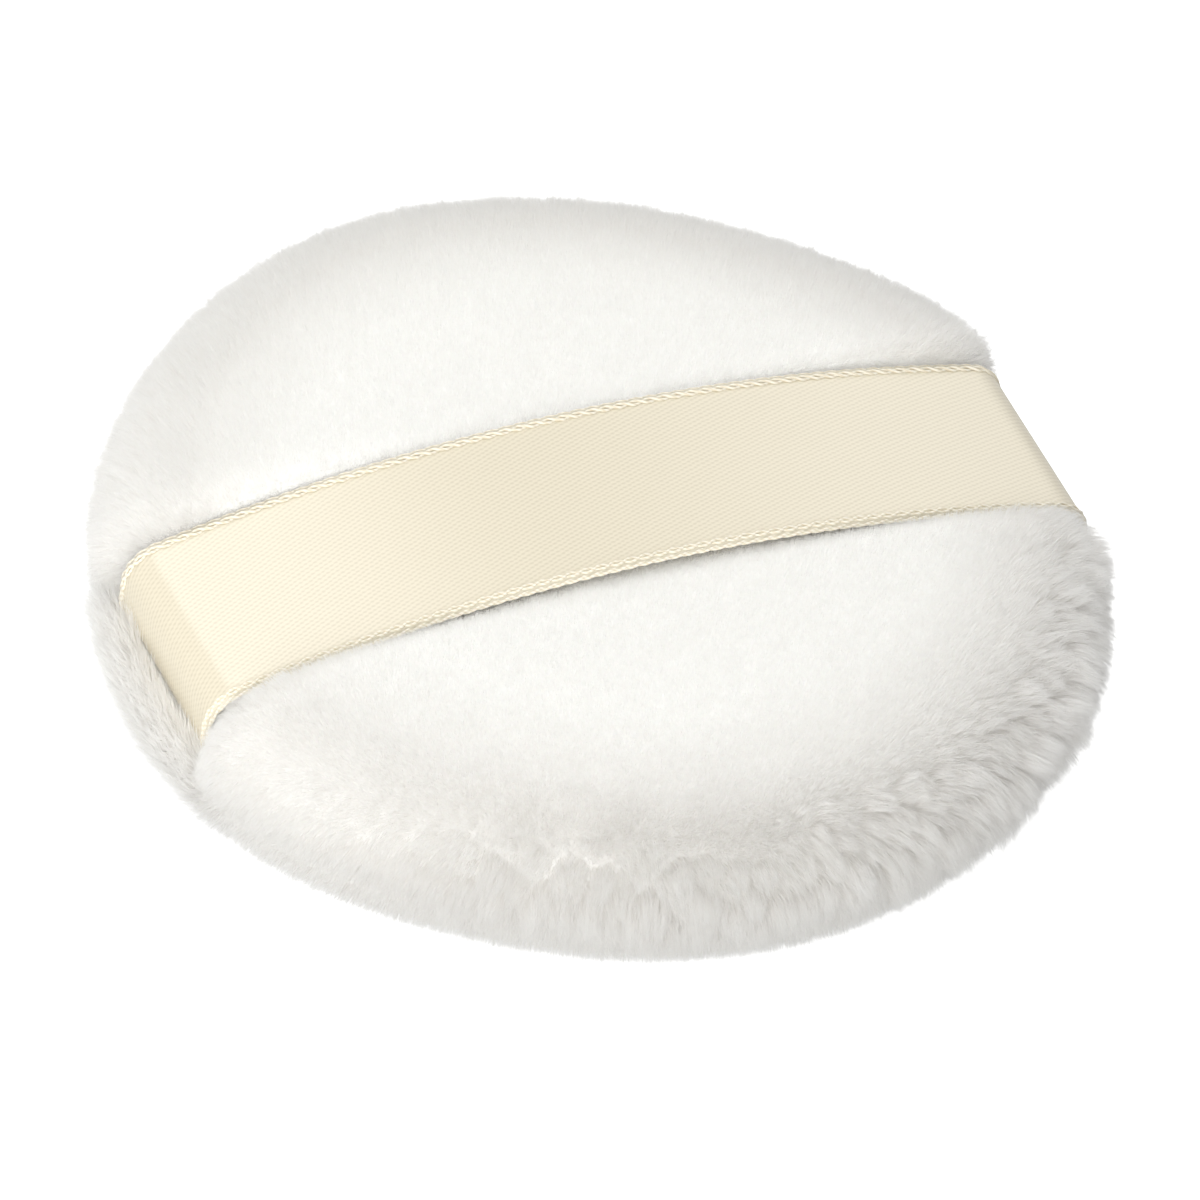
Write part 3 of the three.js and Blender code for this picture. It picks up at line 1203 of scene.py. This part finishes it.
    def by_sector(self, mesh: bpy.types.Mesh, roots: np.ndarray, corners: int) -> list[bpy.types.Mesh]:
        """Splits the stand into equal sectors.

        Args:
            mesh: The strands.
            roots: Where they leave the cloth.
            corners: How many vertices a strand has.

        Returns:
            One mesh for each sector.
        """
        pieces = self.stand.pieces
        if pieces == 1:
            return [mesh]
        angle = (np.arctan2(roots[:, 1], roots[:, 0]) / (2 * math.pi)) % 1.0
        sector = np.minimum((angle * pieces).astype(int), pieces - 1)
        split = []
        for number in range(pieces):
            form = bmesh.new()
            form.from_mesh(mesh)
            gone = np.repeat(sector != number, corners)
            verts = [vert for vert, leaves in zip(form.verts, gone) if leaves]
            bmesh.ops.delete(form, geom=verts, context="VERTS")
            split.append(finished_mesh(form, "sector"))
        return split


@dataclass
class RibbonStrap:
    """The satin ribbon across the top, with a woven selvedge along each edge."""

    path: StrapPath
    satin: SatinFinish
    thread: ThreadFinish
    width: float = 16 * MM
    thickness: float = 0.3 * MM
    across_steps: int = 16
    along_steps: int = 220
    chain_inset: float = 0.46 * MM
    chain_swing: float = 0.18 * MM
    chain_lift: float = 0.2
    chain_wave: float = 0.4
    stitch_pitch: float = 2.28 * MM
    stitch_thread: float = 0.11 * MM
    edge_cord: float = 0.08 * MM
    points_per_stitch: int = 24

    def build(self) -> None:
        """Builds the ribbon and its selvedges in place of the frame's strap, which it hides."""
        edges = (("ribbon_selvedge_near", -1), ("ribbon_selvedge_far", 1))
        pieces = [self.build_selvedge(name, edge) for name, edge in edges]
        ribbon = self.build_ribbon()
        for piece in [ribbon, *pieces]:
            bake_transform(piece)
        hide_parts("ribbon_strap")
        self.path.length()

    def build_ribbon(self) -> bpy.types.Object:
        """Builds the cloth: a mapped grid laid along the path and given its thickness.

        Returns:
            The piece.
        """
        name, length = "ribbon_satin", self.path.length()
        form = bmesh.new()
        form.loops.layers.uv.new(WEAVE_MAP)
        bmesh.ops.create_grid(
            form, x_segments=self.across_steps, y_segments=self.along_steps, size=0.5, calc_uvs=True
        )
        flat = np.array([vert.co for vert in form.verts])
        points, _ = self.path.at((flat[:, 1] + 0.5) * length)
        for vert, place, (x, z) in zip(form.verts, flat, points):
            vert.co = (x, place[0] * self.width, z)
        bmesh.ops.recalc_face_normals(form, faces=form.faces)
        piece = new_piece(name, finished_mesh(form, name), self.satin.material(self.width, length))
        solid = piece.modifiers.new("thickness", "SOLIDIFY")
        solid.thickness = self.thickness
        solid.offset = 0.0
        mesh = evaluated_mesh(piece)
        piece.modifiers.clear()
        piece.data = mesh
        return piece

    def build_selvedge(self, name: str, edge: int) -> bpy.types.Object:
        """Builds one woven edge: a chain of two crossing threads, and a twisted cord along its outside.

        Args:
            name: The piece's name.
            edge: The direction of the edge along Y.

        Returns:
            The piece.
        """
        length = self.path.length()
        stitches = int(length / self.stitch_pitch)
        share = np.linspace(0, 1, stitches * self.points_per_stitch)
        points, faces = self.path.at(share * length)
        curve = bpy.data.curves.new(name, "CURVE")
        curve.dimensions = "3D"
        curve.bevel_depth = self.stitch_thread
        curve.bevel_resolution = 1
        curve.use_fill_caps = True
        middle = self.width / 2 - self.chain_inset
        lift = self.thickness / 2 + self.chain_lift * self.stitch_thread
        for phase in (0.0, math.pi):
            turn = 2 * math.pi * stitches * share + phase
            self.add_thread(
                curve,
                points + faces * (lift + self.chain_wave * self.stitch_thread * np.sin(turn))[:, None],
                edge * (middle + self.chain_swing * np.cos(turn)),
            )
            self.add_thread(
                curve,
                points + faces * (self.edge_cord * np.sin(turn))[:, None],
                edge * (self.width / 2 + self.edge_cord * np.cos(turn)),
            )
        model = new_object(name, curve)
        mesh = evaluated_mesh(model)
        bpy.data.objects.remove(model)
        return new_piece(name, mesh, self.thread.material("cream_selvedge_thread"))

    @staticmethod
    def add_thread(curve: bpy.types.Curve, points: np.ndarray, across: np.ndarray) -> None:
        """Adds one thread to a curve.

        Args:
            curve: The curve that gets the thread.
            points: The thread's places in X and Z.
            across: Its places along Y.
        """
        spline = curve.splines.new("POLY")
        spline.points.add(len(points) - 1)
        rows = np.stack([points[:, 0], across, points[:, 1], np.ones(len(points))], 1)
        spline.points.foreach_set("co", rows.astype(np.float32).ravel())


@dataclass
class FoamCore:
    """The foam disc inside the covers."""

    finish: FoamFinish
    radius: float = 26.8 * MM
    low: float = 3.4 * MM
    high: float = 9.9 * MM
    edge_rounding: float = 0.8 * MM
    round_steps: int = 96
    slack: float = 0.1 * MM

    def is_cut_edge(self, edge: bmesh.types.BMEdge) -> bool:
        """Tells whether an edge runs level round the disc's rim.

        Args:
            edge: An edge of the turned disc.

        Returns:
            Whether it is one that gets rounded.
        """
        first, second = edge.verts
        level = abs(first.co.z - second.co.z) < self.slack
        return level and all(vert.co.xy.length > self.radius - self.slack for vert in edge.verts)

    def build(self) -> None:
        """Builds the disc with its cut edge slightly rounded."""
        profile = [(0.0, self.low), (self.radius, self.low), (self.radius, self.high), (0.0, self.high)]
        form = turned(profile, self.round_steps)
        bmesh.ops.bevel(
            form,
            geom=[edge for edge in form.edges if self.is_cut_edge(edge)],
            offset=self.edge_rounding,
            affect="EDGES",
            segments=3,
            profile=0.5,
            material=-1,
        )
        piece = new_piece("foam_disc", finished_mesh(form, "foam_disc"), self.finish.material())
        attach(piece, "pad")
        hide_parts("foam_core")


@dataclass(frozen=True)
class Softbox:
    """One square lamp that faces the puff."""

    name: str
    place: tuple[float, float, float]
    size: float
    energy: float

    def build(self) -> None:
        """Hangs the lamp."""
        lamp = bpy.data.lights.new(self.name, "AREA")
        lamp.energy = self.energy
        lamp.size = self.size
        hung = new_object(self.name, lamp)
        hung.location = self.place
        hung.rotation_mode = "QUATERNION"
        hung.rotation_quaternion = (-Vector(self.place)).to_track_quat("-Z", "Y")


@dataclass
class Studio:
    """The floor, the light and the camera."""

    azimuth: float = -29.8
    elevation: float = 43.1
    roll: float = 8.8
    pixels_per_metre: float = 13860.0
    middle_pixel: tuple[float, float] = (604.2, 575.2)
    middle_height: float = 8.0 * MM
    frame_pixels: int = 1200
    lens: float = 500.0
    sensor: float = 36.0
    clip: tuple[float, float] = (0.01, 20.0)
    floor_reach: float = 3.0
    floor_paint: str = "#dedede"
    floor_glow: float = 0.75
    fill: float = 0.88
    fill_dark: float = 0.02
    fill_side: tuple[float, float, float] = (-0.70, -0.14, 0.70)
    fill_range: tuple[float, float] = (-0.25, 0.65)
    lamps: tuple[Softbox, ...] = (
        Softbox("left_softbox", (-0.47, -0.58, 0.27), 0.5, 3.8),
        Softbox("back_softbox", (-0.10, 0.56, 0.60), 0.45, 1.9),
        Softbox("right_softbox", (0.52, 0.40, 0.44), 0.5, 1.2),
        Softbox("top_softbox", (0.10, 0.00, 0.79), 0.6, 0.2),
    )

    def build(self) -> None:
        """Sets up the whole studio."""
        self.build_floor()
        self.build_world()
        for lamp in self.lamps:
            lamp.build()
        self.build_camera()
        bpy.context.scene.view_settings.view_transform = "Standard"

    def build_floor(self) -> None:
        """Lays a plain white floor that shows as white and keeps the object's shadow."""
        form = bmesh.new()
        bmesh.ops.create_grid(form, x_segments=1, y_segments=1, size=self.floor_reach)
        material, tree, output = new_material("white_studio_floor")
        path = add_node(tree, "ShaderNodeLightPath")
        paint = add_node(tree, "ShaderNodeBsdfDiffuse", {"Color": linear(self.floor_paint)})
        shown = add_node(
            tree,
            "ShaderNodeMath",
            {"operation": "MULTIPLY", 1: self.floor_glow},
            {0: path.outputs["Is Camera Ray"]},
        )
        glow = add_node(
            tree, "ShaderNodeEmission", {"Color": (1, 1, 1, 1)}, {"Strength": shown.outputs[0]}
        )
        both = add_node(tree, "ShaderNodeAddShader", links={0: paint.outputs[0], 1: glow.outputs[0]})
        tree.links.new(both.outputs[0], output.inputs["Surface"])
        mesh = finished_mesh(form, "floor", smooth=False)
        dress(mesh, material)
        new_object("floor", mesh)

    def build_world(self) -> None:
        """Makes the world a soft fill light, stronger from above and the left, and white to the eye.

        The camera, gloss and glass see it as white. Rays that scatter inside the fibres count as transmitted
        and diffuse at once. They get the fill.
        """
        world = bpy.data.worlds.new("studio")
        world.use_nodes = True
        tree = world.node_tree
        tree.nodes.clear()
        path = add_node(tree, "ShaderNodeLightPath")
        seen = path.outputs["Is Camera Ray"]
        for ray in ("Is Glossy Ray", "Is Transmission Ray"):
            rays = {0: seen, 1: path.outputs[ray]}
            seen = add_node(tree, "ShaderNodeMath", {"operation": "MAXIMUM"}, rays).outputs[0]
        clear = add_node(
            tree, "ShaderNodeMath", {"operation": "SUBTRACT", 0: 1.0}, {1: path.outputs["Is Diffuse Ray"]}
        )
        rays = {0: seen, 1: clear.outputs[0]}
        seen = add_node(tree, "ShaderNodeMath", {"operation": "MULTIPLY"}, rays).outputs[0]
        way = add_node(tree, "ShaderNodeTexCoord")
        facing = add_node(
            tree,
            "ShaderNodeVectorMath",
            {"operation": "DOT_PRODUCT", 1: self.fill_side},
            {0: way.outputs["Generated"]},
        )
        low, high = self.fill_range
        fill = add_node(
            tree,
            "ShaderNodeMapRange",
            {"From Min": low, "From Max": high, "To Min": self.fill_dark, "To Max": self.fill},
            {"Value": facing.outputs["Value"]},
        )
        strength = add_node(
            tree, "ShaderNodeMapRange", {"To Max": 1.0}, {"Value": seen, "To Min": fill.outputs[0]}
        )
        sky = add_node(
            tree, "ShaderNodeBackground", {"Color": (1, 1, 1, 1)}, {"Strength": strength.outputs[0]}
        )
        output = add_node(tree, "ShaderNodeOutputWorld")
        tree.links.new(sky.outputs[0], output.inputs[0])
        bpy.context.scene.world = world

    def build_camera(self) -> None:
        """Stands the camera where the object was seen from, through a long lens."""
        camera = bpy.data.cameras.new("camera")
        camera.lens = self.lens
        camera.sensor_width = self.sensor
        camera.clip_start, camera.clip_end = self.clip
        azimuth, elevation = math.radians(self.azimuth), math.radians(self.elevation)
        level = math.cos(elevation)
        back = Vector((math.sin(azimuth) * level, -math.cos(azimuth) * level, math.sin(elevation)))
        roll = Matrix.Rotation(math.radians(self.roll), 3, "Z")
        turn = (-back).to_track_quat("-Z", "Y").to_matrix() @ roll
        right, up = turn.col[0], turn.col[1]
        distance = self.frame_pixels / self.pixels_per_metre * self.lens / self.sensor
        off_x = (self.frame_pixels / 2 - self.middle_pixel[0]) / self.pixels_per_metre
        off_y = (self.middle_pixel[1] - self.frame_pixels / 2) / self.pixels_per_metre
        target = Vector((0, 0, self.middle_height)) + right * off_x + up * off_y
        viewer = new_object("camera", camera)
        viewer.matrix_world = Matrix.Translation(target + back * distance) @ turn.to_4x4()
        bpy.context.scene.camera = viewer


def covers(strap: StrapPath, finish: PlushFinish) -> list[PlushCover]:
    """Gives both covers with their stands of pile.

    Args:
        strap: The ribbon's path, which the pile keeps clear of.
        finish: The plush.

    Returns:
        The top and the bottom cover.
    """
    middle = 30 * MM
    edge = 40 * MM
    top = PlushCover(
        name="top_plush",
        node="top_cover",
        side=Side.TOP,
        rise=9.05 * MM,
        lining_rise=3.1 * MM,
        stands=[
            PileStand("top_crown_pile", 0.0, middle, 136 * PER_MM2, 0.018 * MM, False, 2, 11, "top_pile"),
            PileStand("top_rim_pile", middle, edge, 118 * PER_MM2, 0.015 * MM, True, 5, 12),
        ],
        combs=[
            Comb(0.0, 0.75 * MM, 0.08, 0.0, 0.18, 0.02, 0.02, 0.01 * MM, 0.03),
            Comb(23 * MM, 0.75 * MM, 0.12, 0.0, 0.18, 0.05, 0.04, 0.02 * MM, 0.03),
            Comb(30 * MM, 1.2 * MM, 0.22, 0.0, 0.20, 0.20, 0.20, 0.15 * MM, 0.06),
            Comb(33.5 * MM, 2.2 * MM, 0.30, 0.06, 0.20, 0.40, 0.50, 0.40 * MM, 0.12),
            Comb(36 * MM, 2.9 * MM, 0.25, 0.25, 0.17, 0.40, 0.70, 0.60 * MM, 0.14),
            Comb(38.5 * MM, 2.5 * MM, 0.15, 0.45, 0.15, 0.40, 0.65, 0.50 * MM, 0.14),
            Comb(40.5 * MM, 2.1 * MM, 0.10, 0.50, 0.14, 0.35, 0.50, 0.40 * MM, 0.12),
        ],
        dents=[
            Dent(StrapEnd.LEFT, 3.0 * MM, 0.0, half_width=8.3 * MM, fade=2.5 * MM),
            Dent(StrapEnd.RIGHT, 2.4 * MM, 0.0, half_width=8.5 * MM, fade=2.2 * MM),
        ],
        strap=strap,
        finish=finish,
    )
    # The powder face shows only from below, so its strands are fewer and wider.
    bottom = PlushCover(
        name="bottom_plush",
        node="bottom_cover",
        side=Side.BOTTOM,
        rise=6.3 * MM,
        radius=35.4 * MM,
        lining_rise=4.0 * MM,
        shoulder_fullness=2.3,
        crown_fullness=2.1,
        stands=[
            PileStand("bottom_rim_pile", middle, edge, 80 * PER_MM2, 0.025 * MM, True, 3, 13),
            PileStand("bottom_face_pile", 0.0, middle, 45 * PER_MM2, 0.04 * MM, False, 1, 14),
        ],
        combs=[
            Comb(0.0, 1.0 * MM, 0.15, 0.0, 0.25, 0.15, 0.05, 0.03 * MM, 0.06),
            Comb(28 * MM, 1.2 * MM, 0.25, 0.0, 0.22, 0.2, 0.08, 0.05 * MM, 0.08),
            Comb(34 * MM, 1.5 * MM, 0.3, 0.05, 0.18, 0.25, 0.15, 0.10 * MM, 0.10),
            Comb(38.5 * MM, 1.6 * MM, 0.15, 0.2, 0.16, 0.25, 0.2, 0.15 * MM, 0.10),
        ],
        dents=[
            Dent(StrapEnd.LEFT, 0.4 * MM, 1.1, 1.1, fade=4.0 * MM),
            Dent(StrapEnd.RIGHT, 1.6 * MM, -0.2),
        ],
        strap=strap,
        finish=finish,
    )
    return [top, bottom]


def main() -> None:
    """Loads the frame and builds each sub-assembly in order."""
    logging.basicConfig(level=logging.INFO)
    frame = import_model()
    strap = StrapPath()
    Studio().build()
    for cover in covers(strap, PlushFinish()):
        cover.build_cloth()
        cover.build_pile()
    FoamCore(FoamFinish()).build()
    RibbonStrap(strap, SatinFinish(), ThreadFinish()).build()
    # The darker of the two colours is painted shade between the thread's plies.
    sewing = ThreadFinish("#e9e5da", "#f7f4ea").material("white_spun_polyester_thread")
    for name in ("seam_thread", "closing_thread"):
        dress(frame["nodes"][name].data, sewing)


if __name__ == "__main__":
    main()
